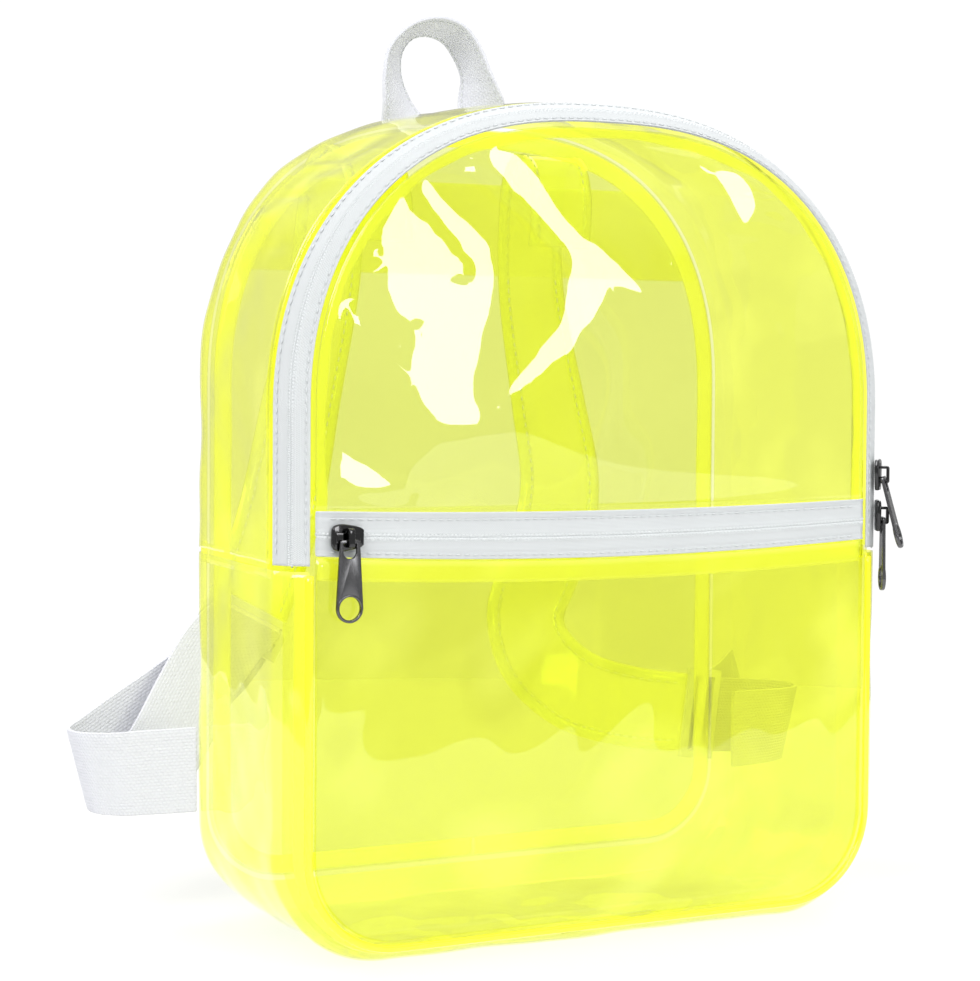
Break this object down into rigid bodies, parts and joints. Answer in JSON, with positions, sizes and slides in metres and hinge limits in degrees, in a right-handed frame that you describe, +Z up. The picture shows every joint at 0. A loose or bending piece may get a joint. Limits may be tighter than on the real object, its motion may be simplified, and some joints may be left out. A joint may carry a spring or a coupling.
{
  "type": "clear backpack",
  "caption": "Small clear yellow backpack with an arched main zip, a zipped front pocket, a white carry handle and shoulder straps with white lower webbing.",
  "frame": {"origin": "middle of the flat base, halfway between the front and back panels", "axes": "-Y out of the front panel, +Y towards the wearer, +Z up, +X to the right of someone facing the front"},
  "size_m": [0.3302, 0.1548, 0.3464],
  "materials": {
    "clear_pvc": "clear gloss PVC",
    "zip_tape": "white woven tape",
    "webbing": "white woven webbing",
    "slide_plastic": "white moulded plastic",
    "zip_metal": "dark gunmetal plating"
  },
  "bodies": {
    "bag": {"front_window": "clear_pvc", "pocket_panel": "clear_pvc", "pocket_divider": "clear_pvc", "gusset_lower": "clear_pvc", "gusset_upper": "clear_pvc", "back_panel": "clear_pvc", "back_yoke": "clear_pvc", "back_seam_allowance": "clear_pvc", "front_seam_piping": "clear_pvc", "shoulder_strap_left": "clear_pvc", "shoulder_strap_right": "clear_pvc", "main_zip_inner_tape": "zip_tape", "main_zip_coil": "zip_tape", "main_zip_outer_tape": "zip_tape", "pocket_zip_upper_tape": "zip_tape", "pocket_zip_coil": "zip_tape", "pocket_zip_lower_tape": "zip_tape", "carry_handle": "webbing", "lower_webbing_left": "webbing", "lower_webbing_right": "webbing", "webbing_tail_left": "webbing", "webbing_tail_right": "webbing", "strap_slide_left": "slide_plastic", "strap_slide_right": "slide_plastic", "pocket_slider": "zip_metal", "main_slider_upper": "zip_metal", "main_slider_lower": "zip_metal"},
    "pocket_pull_tab": {"pocket_pull": "zip_metal"},
    "upper_pull_tab": {"main_pull_upper": "zip_metal"},
    "lower_pull_tab": {"main_pull_lower": "zip_metal"}
  },
  "joints": [
    {"name": "pocket_pull_swing", "type": "hinge", "parent": "bag", "child": "pocket_pull_tab", "pos_m": [-0.10291, -0.056, 0.14909], "axis": [-1, 0, 0], "range_deg": [0, 120]},
    {"name": "upper_pull_swing", "type": "hinge", "parent": "bag", "child": "upper_pull_tab", "pos_m": [0.12437, -0.05116, 0.16734], "axis": [-0.7071, -0.7071, 0], "range_deg": [0, 105]},
    {"name": "lower_pull_swing", "type": "hinge", "parent": "bag", "child": "lower_pull_tab", "pos_m": [0.12488, -0.05047, 0.1516], "axis": [-0.4695, -0.8829, 0], "range_deg": [0, 20]}
  ]
}
